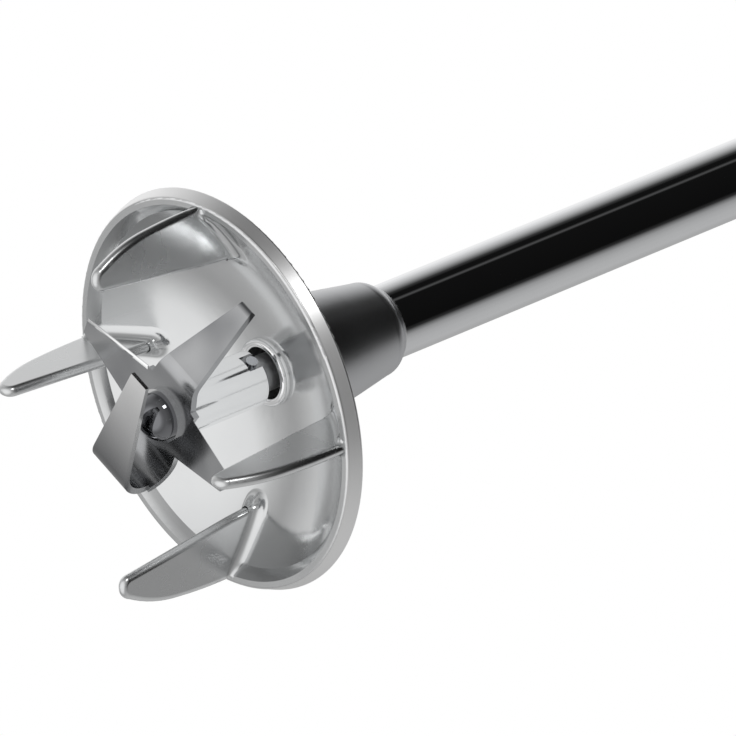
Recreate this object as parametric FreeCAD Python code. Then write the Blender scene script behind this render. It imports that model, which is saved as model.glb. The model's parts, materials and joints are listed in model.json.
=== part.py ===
"""Immersion blender with a finned foot, a four-wing blade and a shaft held by a bayonet ring.

Millimetres, +Z up the shaft.  The origin is the centre of the plane that the four foot fins stand on.
Every piece is one node: a closed solid, or a group of equal solids, written to parts/NODE.step.
"""
import FreeCAD, Part
import os
from math import cos, degrees, pi, radians, sin

V = FreeCAD.Vector
UP = V(0, 0, 1)
OUT = "parts"

# ---------------------------------------------------------------- driving dimensions
# Foot
RIM_Z = 39.0            # front plane of the guard's rim, the height of the fins
RIM_FRONT_R = 59.2      # rim radius at its front edge
GUARD_R = 60.6          # rim radius at its back edge, the guard's outside radius
RIM_BAND = 4.7          # height of the rim's outer wall
LIP_R = 56.0            # inner edge of the flat lip
HUB_HOLE_R = 8.0        # hole through the middle of the guard
DISH_R = 10.2           # where the dish meets the seal ring
DISH_RISE = 20.5        # depth of the dish at DISH_R
DISH_WALL = 2.3
BOSS_R = 12.5           # boss behind the dish, for the lower bush
SEAL_GAP_R = 7.7        # hole in the seal ring
FIN_COUNT = 4
FIN_ANGLE = 29.8        # first fin, from +X
FIN_T = 3.4             # fin thickness
FIN_EDGE = 1.65         # rounding of its edges, almost half its thickness
NECK_TOP = 102.7        # neck's upper end, against the tube
TUBE_R = 11.25
TUBE_WALL = 1.5
TUBE_BOTTOM = 72.0
MIDDLE_BUSH_Z = 190.0
HEAD_Z = 300.0          # lower end of the tube head
HEAD_BEARING_Z = 322.0
FLANGE_Z = 318.0        # lower face of the head's flange
SOCKET_Z = 324.0        # joint face between head and nose

# Blade and its drive
BLADE_Z = 21.0          # lower face of the blade sheet
BLADE_T = 2.0
WING_ANGLE = -31.6      # the long flat wing, from +X
HUB_HALF = 9.4          # half width of the blade at its hub
STUD_R = 3.5
SHAFT_R = 5.5
SLEEVE_R = 8.4
SLEEVE_TOP = 54.0
NOTCH_HALF = 2.8        # half width of the notches in the sleeve's end
NOTCH_DEPTH = 5.4
PIN_R = 1.8
PIN_DROP = 2.7          # pin's centre below the sleeve's end
PIN_ANGLE = WING_ANGLE + 90.0
WASHER_T = 1.5
CIRCLIP_Z = 84.4

# Bayonet between tube head and nose
SPIGOT_R = 19.2
RING_R = 26.0
LUGS = 3
LUG_SPAN = 30.0         # degrees of arc

# Motor
MOTOR_Z = 356.0         # nose flange, where the motor starts
LOWER_BEARING_Z = 358.0
FAN_Z = 370.0
CORE_Z0, CORE_Z1 = 392.0, 430.0
CORE_R = 36.0
ARMATURE_R = 22.0
COMM_Z0, COMM_Z1 = 442.0, 456.0
COMM_R = 12.0
BRUSH_Z = 449.0
BRUSH = 3.2             # half the brush's width
UPPER_BEARING_Z = 463.0
MOTOR_SHAFT_TOP = 474.0
BRACKET_SCREW_R = 31.6  # pitch radius of the screws through the stator
NOSE_SCREW_R = 36.0
M3_HOLE = 1.65
HOUSING_R = 45.0
SHELL_T = 3.0           # moulded wall
VENTS = 30              # slots in each row

# Handle
HANDLE_Z = 484.0        # joint between motor housing and handle
HANDLE_TOP = 612.0
HANDLE_FOOT_R = 42.0
GRIP_R = 24.0
TRIGGER_Z0, TRIGGER_Z1 = 524.0, 566.0
TRIGGER_HALF = 6.5      # half the lever's width
PIVOT = V(0, -15.0, 562.0)
PIVOT_R = 1.5
BUTTON_Z, BUTTON_R = 546.0, 6.0
BUTTON_FOOT, BUTTON_TOP = 17.2, 27.0
WHEEL_Y, WHEEL_Z = 14.0, 586.0
WHEEL_R, WHEEL_HALF = 12.5, 3.0
SPINDLE_R = 2.0
BOARD_Y = 4.0
SCREW_POSTS = ((14.0, 510.0, 20.0), (-14.0, 510.0, 20.0), (14.0, 560.0, 19.0), (-15.0, 592.0, 19.0))
CABLE_R = 3.8           # hole for the mains lead

# Fits and standard parts
FIT = 0.05              # radial clearance of a running fit
GAP = 0.3               # clearance between parts that pass each other
BEARING_BORE = 4.0      # 608 size: 8 x 22 x 7
BEARING_R = 11.0
BEARING_W = 7.0


# ---------------------------------------------------------------- helpers
def at(angle, r=1.0, z=0.0):
    """Point at an angle in degrees, a radius and a height."""
    return V(r * cos(radians(angle)), r * sin(radians(angle)), z)


def cylinder(r, z0, z1, x=0.0, y=0.0):
    return Part.makeCylinder(r, z1 - z0, V(x, y, z0))


def ring(outer, inner, z0, z1):
    return cylinder(outer, z0, z1).cut(cylinder(inner, z0 - 1, z1 + 1))


def bar(r, start, end):
    """Round bar between two points."""
    return Part.makeCylinder(r, (end - start).Length, start, end - start)


def block(x0, x1, y0, y1, z0, z1):
    return Part.makeBox(x1 - x0, y1 - y0, z1 - z0, V(x0, y0, z0))


def revolve(edges):
    """Solid of revolution about Z of a closed outline in the XZ plane."""
    face = Part.Face(Part.Wire(edges))
    return face.revolve(V(0, 0, 0), UP, 360)


def outline(*points):
    """Closed straight-sided outline through (r, z) points."""
    corners = [V(r, 0, z) for r, z in points]
    return Part.makePolygon(corners + corners[:1]).Edges


def path(start, *steps):
    """Open run of edges from start: (r, z) draws a line, (r, z, r2, z2) an arc through the first pair."""
    edges = []
    here = V(start[0], 0, start[1])
    for step in steps:
        end = V(step[-2], 0, step[-1])
        if len(step) == 2:
            edges.append(Part.LineSegment(here, end).toShape())
        else:
            edges.append(Part.Arc(here, V(step[0], 0, step[1]), end).toShape())
        here = end
    return edges


def turned(shape, angle, centre=V(0, 0, 0), axis=UP):
    copy = shape.copy()
    copy.rotate(centre, axis, angle)
    return copy


def around(shape, count, first=0.0):
    """Equal copies of a shape about Z."""
    return [turned(shape, first + 360.0 * i / count) for i in range(count)]


def fuse(first, *others):
    return first.multiFuse(list(others)).removeSplitter()


def prism(points, z0, z1):
    """Upright prism over an (x, y) outline."""
    corners = [V(x, y, z0) for x, y in points]
    face = Part.Face(Part.makePolygon(corners + corners[:1]))
    return face.extrude(V(0, 0, z1 - z0))


def hexagon(across_flats, z0, z1):
    radius = across_flats / 2 / cos(pi / 6)
    return prism([(radius * cos(k * pi / 3), radius * sin(k * pi / 3)) for k in range(6)], z0, z1)


def export(name, *solids):
    shape = solids[0] if len(solids) == 1 else Part.makeCompound(list(solids))
    shape.exportStep(os.path.join(OUT, name + ".step"))
    state = "valid" if shape.isValid() else "INVALID"
    print(name, len(shape.Solids), "solid(s)", round(shape.Volume), "mm3", state)


# ---------------------------------------------------------------- foot: guard, neck, tube
def dish():
    """Spun dish with a flat rolled rim and a boss that takes the bush."""
    inside_top = RIM_Z + DISH_RISE
    spigot_r = TUBE_R - TUBE_WALL
    spigot_top = TUBE_BOTTOM + 12
    back = RIM_Z + RIM_BAND
    return revolve(path(
        (LIP_R + 0.8, RIM_Z),
        (RIM_FRONT_R - 0.9, RIM_Z),
        (RIM_FRONT_R - 0.2, RIM_Z + 0.2, RIM_FRONT_R + 0.1, RIM_Z + 0.8),
        (GUARD_R - 0.1, back - 0.9),
        (GUARD_R - 0.1, back - 0.2, GUARD_R - 0.9, back + 0.1),
        (LIP_R + 0.6, back + 0.9),
        (40.2, RIM_Z + 15.1, 14.0, inside_top + DISH_WALL),
        (BOSS_R, inside_top + DISH_WALL + 0.5),
        (BOSS_R, TUBE_BOTTOM),
        (spigot_r, TUBE_BOTTOM),
        (spigot_r, spigot_top),
        (HUB_HOLE_R, spigot_top),
        (HUB_HOLE_R, inside_top),
        (DISH_R, inside_top),
        (39.0, RIM_Z + 13.0, 54.0, RIM_Z + 3.5),
        (LIP_R - 0.6, RIM_Z + 1.6, LIP_R + 0.8, RIM_Z)))


def fin():
    """One tongue-shaped fin in the XZ plane, with round edges."""
    half = FIN_T / 2
    edges = path(
        (38.6, RIM_Z + 14.0),
        (39.6, RIM_Z + 2.0),
        (41.8, RIM_Z - 15.0),
        (43.0, RIM_Z - 25.0),
        (44.3, 3.2),
        (45.3, 0.9, 47.6, 0),
        (50.3, 0.7, 51.7, 2.6),
        (55.3, 10.4, 57.3, 20.0),
        (58.1, RIM_Z - 9.0, 58.2, RIM_Z + 0.4),
        (57.0, RIM_Z + 4.0),
        (38.6, RIM_Z + 14.0))
    plate = Part.Face(Part.Wire(edges)).extrude(V(0, FIN_T, 0))
    plate.translate(V(0, -half, 0))
    free_edges = [e for e in plate.Edges if abs(abs(e.CenterOfMass.y) - half) < 0.01
                  and e.CenterOfMass.z < RIM_Z + 8 and e.CenterOfMass.x < 58.5
                  and not e.BoundBox.ZMin > RIM_Z + 0.3]
    return plate.makeFillet(FIN_EDGE, free_edges)


def guard():
    body = fuse(dish(), *around(fin(), FIN_COUNT, FIN_ANGLE))
    return body.cut(cylinder(HUB_HOLE_R, RIM_Z, TUBE_BOTTOM + 20))


def neck():
    """Conical collar behind the guard, brazed to the guard and round the tube."""
    base = RIM_Z + DISH_RISE + 2.0
    tube_r = TUBE_R + 0.02
    top = NECK_TOP
    return revolve(path(
        (20.2, base),
        (18.4, base + 11.0, 16.3, base + 24.5),
        (14.4, top - 5.2),
        (13.8, top - 2.8, 12.5, top - 1.2),
        (12.0, top - 0.7, 11.7, top),
        (tube_r, top),
        (tube_r, top - 20.0),
        (14.0, top - 22.0),
        (17.8, base + 0.8),
        (20.2, base)))


def seal_ring():
    """Rounded steel ring pressed into the middle of the dish."""
    face = RIM_Z + DISH_RISE
    middle = (SEAL_GAP_R + DISH_R) / 2
    return revolve(path(
        (SEAL_GAP_R, face - 0.8),
        (middle, face - 2.2, DISH_R, face - 0.6),
        (DISH_R, face),
        (HUB_HOLE_R, face),
        (HUB_HOLE_R, face + 2.0),
        (SEAL_GAP_R, face + 2.0),
        (SEAL_GAP_R, face - 0.8)))


def lip_seal(z0):
    """Rubber seal with one lip on the shaft."""
    lip_r = SHAFT_R + FIT
    return revolve(outline(
        (HUB_HOLE_R, z0), (HUB_HOLE_R, z0 + 3.6), (7.2, z0 + 3.6), (7.2, z0 + 1.2),
        (lip_r + 0.5, z0 + 2.4), (lip_r, z0 + 1.6), (lip_r, z0 + 1.0), (lip_r + 0.9, z0)))


def tube_head():
    """Machined head on the tube: bearing seat, flange for the lock ring and a spigot."""
    spigot_r = 16.0
    body = revolve(outline(
        (TUBE_R, HEAD_Z), (14.0, HEAD_Z), (15.0, HEAD_Z + 1.0), (15.0, FLANGE_Z), (19.0, FLANGE_Z),
        (19.0, SOCKET_Z), (spigot_r, SOCKET_Z), (spigot_r, SOCKET_Z + 15.0),
        (spigot_r - 1.0, SOCKET_Z + 16.0), (BEARING_R, SOCKET_Z + 16.0), (BEARING_R, HEAD_BEARING_Z),
        (TUBE_R - TUBE_WALL, HEAD_BEARING_Z), (TUBE_R - TUBE_WALL, HEAD_Z + 20.0), (TUBE_R, HEAD_Z + 20.0)))
    return body


def bearing_outer(z0):
    """Outer race with its shield."""
    return revolve(outline(
        (BEARING_R, z0), (BEARING_R, z0 + BEARING_W), (6.6, z0 + BEARING_W), (6.6, z0 + BEARING_W - 0.8),
        (9.0, z0 + BEARING_W - 0.8), (9.0, z0 + 0.8), (6.6, z0 + 0.8), (6.6, z0)))


def bearing_inner(z0):
    return ring(6.1, BEARING_BORE, z0, z0 + BEARING_W)


# ---------------------------------------------------------------- blade group
def tapered(root_half, tip_half, root_r, tip_r):
    """Plan outline of a wing along +X, as a tall prism to cut it out of a bent strip."""
    slope = (tip_half - root_half) / (tip_r - root_r)
    start_half = root_half - slope * root_r
    points = [(0, -start_half), (tip_r, -tip_half), (tip_r, tip_half), (0, start_half)]
    return prism(points, -5, 80)


def strip(edges, width):
    """Bent sheet strip along +X from its side outline."""
    solid = Part.Face(Part.Wire(edges)).extrude(V(0, width, 0))
    solid.translate(V(0, -width / 2, 0))
    return solid


def edge_bevel(root, tip, side):
    """Wedge that grinds one edge of a flat wing to a cutting edge, from point root to point tip."""
    along = (tip - root).normalize()
    across = V(-along.y, along.x, 0) * side
    grind = 3.4
    a = root + across * -grind
    b = root + across * 1.0
    above = UP * BLADE_T * 1.5
    corners = [a + above, b + above, b - UP * BLADE_T * 0.72, a + UP * BLADE_T]
    wedge = Part.Face(Part.makePolygon(corners + corners[:1])).extrude(tip - root)
    return wedge


def flat_wing(tip_r, tip_half, side):
    """Flat wing along +X with one ground edge, its lower face at z = 0."""
    root_r, root_half = 9.0, HUB_HALF
    wing = prism([(0, -root_half), (root_r, -root_half), (tip_r, -tip_half),
                  (tip_r, tip_half), (root_r, root_half), (0, root_half)], 0, BLADE_T)
    grind = edge_bevel(V(root_r + 2, side * (root_half - 0.5), 0), V(tip_r + 1, side * tip_half, 0), side)
    return wing.cut(grind)


def raised_wing():
    """Wing bent up towards the guard, with a round bend."""
    bend_r, rise = 15.5, radians(45)
    tip_r, radius = 36.0, 4.0
    t = BLADE_T
    lean = V(cos(rise), 0, sin(rise))
    normal = V(-sin(rise), 0, cos(rise))
    low_start = V(bend_r - radius * 0.41, 0, 0)
    low_mid = V(bend_r - radius * 0.41 + (radius + t) * sin(rise / 2), 0, (radius + t) * (1 - cos(rise / 2)))
    low_end = V(bend_r - radius * 0.41 + (radius + t) * sin(rise), 0, (radius + t) * (1 - cos(rise)))
    high_start = low_start + V(0, 0, t)
    high_mid = V(low_start.x + radius * sin(rise / 2), 0, t + radius * (1 - cos(rise / 2)))
    high_end = low_end + normal * t
    reach = (tip_r - low_end.x) / cos(rise)
    low_tip = low_end + lean * reach
    high_tip = low_tip + normal * t
    edges = [
        Part.LineSegment(V(0, 0, 0), low_start).toShape(),
        Part.Arc(low_start, low_mid, low_end).toShape(),
        Part.LineSegment(low_end, low_tip).toShape(),
        Part.LineSegment(low_tip, high_tip).toShape(),
        Part.LineSegment(high_tip, high_end).toShape(),
        Part.Arc(high_end, high_mid, high_start).toShape(),
        Part.LineSegment(high_start, V(0, 0, t)).toShape(),
        Part.LineSegment(V(0, 0, t), V(0, 0, 0)).toShape()]
    return strip(edges, 19).common(tapered(9.2, 2.3, 9.0, tip_r))


def hooked_wing():
    """Wing rolled down and back under the hub into a flat tongue."""
    t = BLADE_T
    bend_r, bend_radius = 13.0, 7.6
    floor = -2 * bend_radius - t * 0.5
    centre = V(bend_r, 0, t / 2 - bend_radius)
    outer, inner = bend_radius + t / 2, bend_radius - t / 2
    tip = V(-21.0, 0, -15.6)
    foot_outer = V(bend_r, 0, floor)
    foot_inner = V(bend_r, 0, floor + t)
    edges = [
        Part.LineSegment(V(0, 0, t), V(bend_r, 0, t)).toShape(),
        Part.Arc(V(bend_r, 0, t), centre + V(outer, 0, 0), foot_outer).toShape(),
        Part.LineSegment(foot_outer, tip).toShape(),
        Part.LineSegment(tip, tip + V(0, 0, t * 0.6)).toShape(),
        Part.LineSegment(tip + V(0, 0, t * 0.6), foot_inner).toShape(),
        Part.Arc(foot_inner, centre + V(inner, 0, 0), V(bend_r, 0, 0)).toShape(),
        Part.LineSegment(V(bend_r, 0, 0), V(0, 0, 0)).toShape(),
        Part.LineSegment(V(0, 0, 0), V(0, 0, t)).toShape()]
    folded = strip(edges, 19)
    upper = folded.common(block(0, 30, -9.0, 9.0, -6.0, 5.0))
    plan = [(-21.0, -3.4), (bend_r, -7.4), (30, -9.0), (30, 9.0), (bend_r, 7.4), (-21.0, 3.4)]
    tongue = prism(plan, -30, -6.0)
    return fuse(upper, folded.common(tongue))


def blade():
    """Four-wing blade stamped and bent from one sheet, held by the stud through its middle."""
    wings = [
        turned(flat_wing(37.5, 2.6, 1), 0),
        turned(raised_wing(), 90),
        turned(flat_wing(28.5, 4.2, -1), 180),
        turned(hooked_wing(), 270)]
    body = fuse(cylinder(HUB_HALF, 0, BLADE_T), *wings).cut(cylinder(STUD_R + 0.05, -1, BLADE_T + 1))
    body.translate(V(0, 0, BLADE_Z))
    return turned(body, WING_ANGLE)


def blade_sleeve(z0):
    """Hub sleeve between blade and drive pin, notched across its open end."""
    notch = block(-12, 12, -NOTCH_HALF, NOTCH_HALF, SLEEVE_TOP - NOTCH_DEPTH, SLEEVE_TOP + 1)
    body = revolve(outline(
        (SHAFT_R, z0), (SLEEVE_R, z0), (SLEEVE_R, SLEEVE_TOP - 0.8), (SLEEVE_R - 0.8, SLEEVE_TOP),
        (SHAFT_R, SLEEVE_TOP)))
    return body.cut(turned(notch, PIN_ANGLE))


def drive_pin():
    centre = V(0, 0, SLEEVE_TOP - PIN_DROP)
    reach = at(PIN_ANGLE, SLEEVE_R)
    return bar(PIN_R, centre - reach, centre + reach)


def cap_nut(z0):
    """Domed cap nut: z0 is the washer's lower face, the dome points down."""
    dome_r, skirt, height, depth = 7.2, 1.4, 6.6, 3.0
    rise = height - skirt
    ball_r = (dome_r ** 2 + rise ** 2) / (2 * rise)
    ball = Part.makeSphere(ball_r, V(0, 0, z0 - height + ball_r))
    return cylinder(dome_r, z0 - height - 1, z0).common(ball).cut(cylinder(STUD_R, z0 - depth, z0 + 1))


def drive_shaft(stud_end, top):
    """Long steel shaft: threaded stud, round body with a circlip groove, bearing journal."""
    sheet_top = BLADE_Z + BLADE_T
    groove_r = SHAFT_R - 0.6
    body = revolve(outline(
        (0, stud_end), (STUD_R, stud_end), (STUD_R, sheet_top), (SHAFT_R, sheet_top),
        (SHAFT_R, CIRCLIP_Z), (groove_r, CIRCLIP_Z), (groove_r, CIRCLIP_Z + 1.0), (SHAFT_R, CIRCLIP_Z + 1.0),
        (SHAFT_R, HEAD_BEARING_Z), (BEARING_BORE, HEAD_BEARING_Z), (BEARING_BORE, top), (0, top)))
    centre = V(0, 0, SLEEVE_TOP - PIN_DROP)
    reach = at(PIN_ANGLE, 9.0)
    return body.cut(bar(PIN_R, centre - reach, centre + reach))


def circlip(z0):
    full = ring(7.4, SHAFT_R - 0.6, z0, z0 + 1.0)
    return full.cut(block(0, 9, -2.0, 2.0, z0 - 1, z0 + 2))


def coupling_socket(z0):
    """Lower half of the shaft coupling: a cup with a hexagonal hole."""
    body = cylinder(9.0, z0, z0 + 15.0)
    return body.cut(cylinder(BEARING_BORE, z0 - 1, z0 + 5.0)).cut(hexagon(8.4, z0 + 5.0, z0 + 16.0))


# ---------------------------------------------------------------- lock ring and nose
def lug_sector(span, r0, r1, z0, z1):
    """Sector of a ring, centred on +X."""
    wedge = Part.makeCylinder(r1, z1 - z0, V(0, 0, z0), UP, span)
    wedge.rotate(V(0, 0, 0), UP, -span / 2)
    return wedge.cut(cylinder(r0, z0 - 1, z1 + 1))


def lock_ring():
    """Knurled bayonet ring that pulls the tube head's flange against the nose."""
    r_out, z0, z1 = RING_R, FLANGE_Z - 4.0, SOCKET_Z + 10.0
    groove_z0, groove_z1 = SOCKET_Z + 3.6, SOCKET_Z + 7.4
    body = revolve(outline(
        (15.3, z0), (r_out - 1.5, z0), (r_out, z0 + 1.5), (r_out, z1 - 1.5), (r_out - 1.5, z1),
        (19.6, z1), (19.6, groove_z1), (21.4, groove_z1), (21.4, groove_z0), (19.6, groove_z0),
        (19.6, FLANGE_Z - 0.3), (15.3, FLANGE_Z - 0.3)))
    entries = around(lug_sector(LUG_SPAN + 4, 19.0, 21.4, groove_z1 - 0.5, z1 + 1), LUGS, 40.0)
    grips = around(cylinder(1.6, z0 - 1, z1 + 1, r_out + 0.8, 0), 24)
    return body.cut(Part.makeCompound(entries)).cut(Part.makeCompound(grips))


def nose():
    """Die-cast nose: bayonet spigot below, cone up to the motor flange."""
    body = revolve(path(
        (16.1, SOCKET_Z),
        (SPIGOT_R, SOCKET_Z),
        (SPIGOT_R, SOCKET_Z + 11.0),
        (26.0, SOCKET_Z + 11.0),
        (27.0, SOCKET_Z + 18.0, 35.0, SOCKET_Z + 26.0),
        (40.0, MOTOR_Z - 3.0),
        (40.0, MOTOR_Z),
        (24.0, MOTOR_Z),
        (20.0, SOCKET_Z + 24.0),
        (11.0, SOCKET_Z + 24.0),
        (11.0, SOCKET_Z + 20.0),
        (16.1, SOCKET_Z + 20.0),
        (16.1, SOCKET_Z)))
    lugs = around(lug_sector(LUG_SPAN, SPIGOT_R - 0.5, 21.1, SOCKET_Z + 4.0, SOCKET_Z + 7.0), LUGS)
    holes = around(cylinder(M3_HOLE, SOCKET_Z, MOTOR_Z + 1, NOSE_SCREW_R, 0), 4, 45.0)
    seats = around(cylinder(3.2, SOCKET_Z, MOTOR_Z - 4.0, NOSE_SCREW_R, 0), 4, 45.0)
    return fuse(body, *lugs).cut(Part.makeCompound(holes + seats))


# ---------------------------------------------------------------- motor
def bracket(z0, bearing_z, arm_r, holes_r):
    """Cast spider: a rim, four arms and a cup for the bearing."""
    rim = ring(arm_r, arm_r - 6.0, z0, z0 + 4.0)
    cup = cylinder(BEARING_R + 3.0, min(z0, bearing_z - 2.0), bearing_z + BEARING_W)
    arms = around(block(0, arm_r - 3.0, -5.0, 5.0, z0, z0 + 4.0), 4, 45.0)
    body = fuse(rim, cup, *arms).cut(cylinder(BEARING_R, bearing_z, bearing_z + BEARING_W + 1))
    body = body.cut(cylinder(8.0, z0 - 20, bearing_z + BEARING_W + 1))
    return body.cut(Part.makeCompound(around(cylinder(M3_HOLE, z0 - 1, z0 + 5, holes_r, 0), 4, 45.0)))


def stator_core():
    """Laminated stator: a flattened ring with two pole horns."""
    outer = cylinder(CORE_R, CORE_Z0, CORE_Z1).common(block(-CORE_R, CORE_R, -31, 31, CORE_Z0, CORE_Z1))
    window = cylinder(28.5, CORE_Z0 - 1, CORE_Z1 + 1)
    poles = ring(29.0, 22.4, CORE_Z0, CORE_Z1).common(
        fuse(block(12, 36, -16, 16, CORE_Z0, CORE_Z1), block(-36, -12, -16, 16, CORE_Z0, CORE_Z1)))
    bores = around(cylinder(M3_HOLE, CORE_Z0 - 1, CORE_Z1 + 1, BRACKET_SCREW_R, 0), 4, 45.0)
    return fuse(outer.cut(window), poles).cut(Part.makeCompound(bores))


def stator_windings():
    """Two copper field coils, bowed over the ends of the poles."""
    coils = []
    for side in (0, 180):
        arc = lug_sector(140, 23.2, 28.2, CORE_Z0 - 8, CORE_Z1 + 8)
        hollow = lug_sector(96, 20.0, 40.0, CORE_Z0 - 1.0, CORE_Z1 + 1.0)
        coils.append(turned(arc.cut(hollow), side))
    return coils


def armature_core():
    """Slotted rotor stack."""
    slots = around(block(12.0, 24.0, -1.2, 1.2, CORE_Z0 - 1, CORE_Z1 + 1), 12)
    return ring(ARMATURE_R, BEARING_BORE + 1, CORE_Z0, CORE_Z1).cut(Part.makeCompound(slots))


def armature_windings():
    """Copper end turns above and below the stack."""
    heads = []
    for z0, z1 in ((CORE_Z0 - 8, CORE_Z0), (CORE_Z1, CORE_Z1 + 8)):
        heads.append(revolve(outline(
            (7.0, z0), (16.0, z0), (19.5, z0 + 2.5), (19.5, z1 - 2.5), (16.0, z1), (7.0, z1))))
    return heads


def commutator():
    slots = around(block(9.0, 14.0, -0.3, 0.3, COMM_Z0 - 1, COMM_Z1 + 1), 24)
    return ring(COMM_R, BEARING_BORE + 1, COMM_Z0, COMM_Z1).cut(Part.makeCompound(slots))


def motor_shaft(z0, z1):
    """Rotor shaft with journals for the two bearings."""
    thick = BEARING_BORE + 1
    shoulder = LOWER_BEARING_Z + BEARING_W
    return revolve(outline(
        (0, z0), (3.0, z0), (3.0, z0 + 16.0), (BEARING_BORE, z0 + 16.0), (BEARING_BORE, shoulder),
        (thick, shoulder), (thick, UPPER_BEARING_Z), (BEARING_BORE, UPPER_BEARING_Z),
        (BEARING_BORE, z1), (0, z1)))


def coupling_hex(z0):
    """Upper half of the coupling: a hexagonal driver on the motor shaft."""
    driver = hexagon(8.0, z0, z0 + 16.0)
    return driver.cut(cylinder(3.0, z0 - 1, z0 + 17.0))


def fan():
    """Cooling fan: hub, disc and twelve blades."""
    hub = cylinder(9.0, FAN_Z, FAN_Z + 12.0)
    disc = cylinder(31.0, FAN_Z, FAN_Z + 1.6)
    vanes = around(block(8.0, 30.5, -0.8, 0.8, FAN_Z + 1.0, FAN_Z + 10.0), 12)
    return fuse(hub, disc, *vanes).cut(cylinder(BEARING_BORE + 1, FAN_Z - 1, FAN_Z + 13.0))


def on_both_sides(shape):
    """The shape and its twin on the other side of the shaft."""
    return [shape, turned(shape, 180)]


def brush_holders():
    box = block(14.0, 30.0, -BRUSH - 1.4, BRUSH + 1.4, BRUSH_Z - BRUSH - 1.4, BRUSH_Z + BRUSH + 1.4)
    return box.cut(block(12.0, 28.8, -BRUSH, BRUSH, BRUSH_Z - BRUSH, BRUSH_Z + BRUSH))


def brush():
    size = BRUSH - 0.1
    return block(COMM_R + FIT, 22.0, -size, size, BRUSH_Z - size, BRUSH_Z + size)


def coil_spring(radius, wire, pitch, height, start, direction):
    """Round-wire compression spring."""
    helix = Part.makeHelix(pitch, height, radius)
    profile = Part.Wire(Part.makeCircle(wire, V(radius, 0, 0), V(0, 1, 0)))
    solid = Part.Wire(helix.Edges).makePipeShell([profile], True, True)
    solid.rotate(V(0, 0, 0), UP.cross(direction) if UP.cross(direction).Length else V(1, 0, 0),
                 degrees(UP.getAngle(direction)))
    solid.translate(start)
    return solid


def motor_housing():
    """Moulded drum round the motor, with cooling slots near its top."""
    z0, z1 = MOTOR_Z - 3.0, HANDLE_Z
    t = SHELL_T
    body = revolve(path(
        (40.2, z0),
        (43.0, z0),
        (HOUSING_R, z0 + 8.0, HOUSING_R, z0 + 22.0),
        (HOUSING_R, z1 - 24.0),
        (HOUSING_R - 0.4, z1 - 10.0, HOUSING_R - 3.0, z1),
        (HOUSING_R - 3.0 - t, z1),
        (HOUSING_R - t - 0.4, z1 - 10.0, HOUSING_R - t, z1 - 24.0),
        (HOUSING_R - t, z0 + 22.0),
        (HOUSING_R - t, z0 + 10.0, 40.2, z0 + 4.0),
        (40.2, z0)))
    low = around(block(36, 50, -1.6, 1.6, z0 + 26, z0 + 44), VENTS)
    high = around(block(36, 50, -1.6, 1.6, z1 - 30, z1 - 14), VENTS)
    return body.cut(Part.makeCompound(low + high))


# ---------------------------------------------------------------- handle
def grip_profile(inset):
    """Outer line of the handle moved in by a wall thickness, closed on the axis."""
    base = HANDLE_Z
    top = HANDLE_TOP - inset
    return path(
        (0, base),
        (HANDLE_FOOT_R - inset, base),
        (38.0 - inset, base + 16.0, 27.0 - inset, base + 30.0),
        (GRIP_R - inset, base + 52.0, GRIP_R - inset, base + 74.0),
        (GRIP_R + 0.6 - inset, base + 92.0, GRIP_R + 3.0 - inset, HANDLE_TOP - 12.0),
        (22.0 - inset, HANDLE_TOP - 3.0 - inset * 0.6, 14.0, top),
        (0, top),
        (0, base))


def handle_shells():
    """Left and right moulded halves with screw posts and openings for the controls."""
    shell = revolve(grip_profile(0)).cut(revolve(grip_profile(SHELL_T)).cut(
        block(-60, 60, -60, 60, HANDLE_Z - 1, HANDLE_Z - 0.5)))
    trigger_side = TRIGGER_HALF + GAP
    wheel_side = WHEEL_HALF + 2 * GAP
    trigger_gap = block(-trigger_side, trigger_side, -40, -12, TRIGGER_Z0 - 1, TRIGGER_Z1 + 1)
    wheel_gap = block(-wheel_side, wheel_side, WHEEL_Y, 40, WHEEL_Z - WHEEL_R, WHEEL_Z + WHEEL_R)
    button_gap = Part.makeCylinder(BUTTON_R + GAP, 20, V(0, 15, BUTTON_Z), V(0, 1, 0))
    gland_gap = cylinder(7.0, HANDLE_TOP - 10, HANDLE_TOP + 5)
    shell = shell.cut(Part.makeCompound([trigger_gap, wheel_gap, button_gap, gland_gap]))
    posts = [Part.makeCylinder(3.5, 2 * reach, V(-reach, y, z), V(1, 0, 0)) for y, z, reach in SCREW_POSTS]
    ears = Part.makeCylinder(3.0, 30, PIVOT - V(15, 0, 0), V(1, 0, 0))
    ears = ears.cut(block(-10.5, 10.5, -30, 0, PIVOT.z - 5, PIVOT.z + 5))
    ears = ears.cut(trigger_pin())
    shell = fuse(shell, ears, *posts)
    for y, z, reach in SCREW_POSTS:
        shell = shell.cut(Part.makeCylinder(1.5, 60, V(-30, y, z), V(1, 0, 0)))
        shell = shell.cut(Part.makeCylinder(3.0, 40, V(reach - 4, y, z), V(1, 0, 0)))
    left = shell.common(block(-60, 0, -60, 60, HANDLE_Z - 5, HANDLE_TOP + 5))
    right = shell.common(block(0, 60, -60, 60, HANDLE_Z - 5, HANDLE_TOP + 5))
    return left, right


def handle_screws():
    """Pan-head screws that draw the right half onto the left one."""
    screws = []
    for y, z, reach in SCREW_POSTS:
        head = Part.makeCylinder(2.8, 2.0, V(reach - 4.0, y, z), V(1, 0, 0))
        shank = Part.makeCylinder(1.5, 20.0, V(reach - 24.0, y, z), V(1, 0, 0))
        recess = Part.makeBox(1.5, 3.6, 0.8, V(reach - 3.0, y - 1.8, z - 0.4))
        screws.append(fuse(head, shank).cut(recess).cut(turned(recess, 90, V(0, y, z), V(1, 0, 0))))
    return screws


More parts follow.
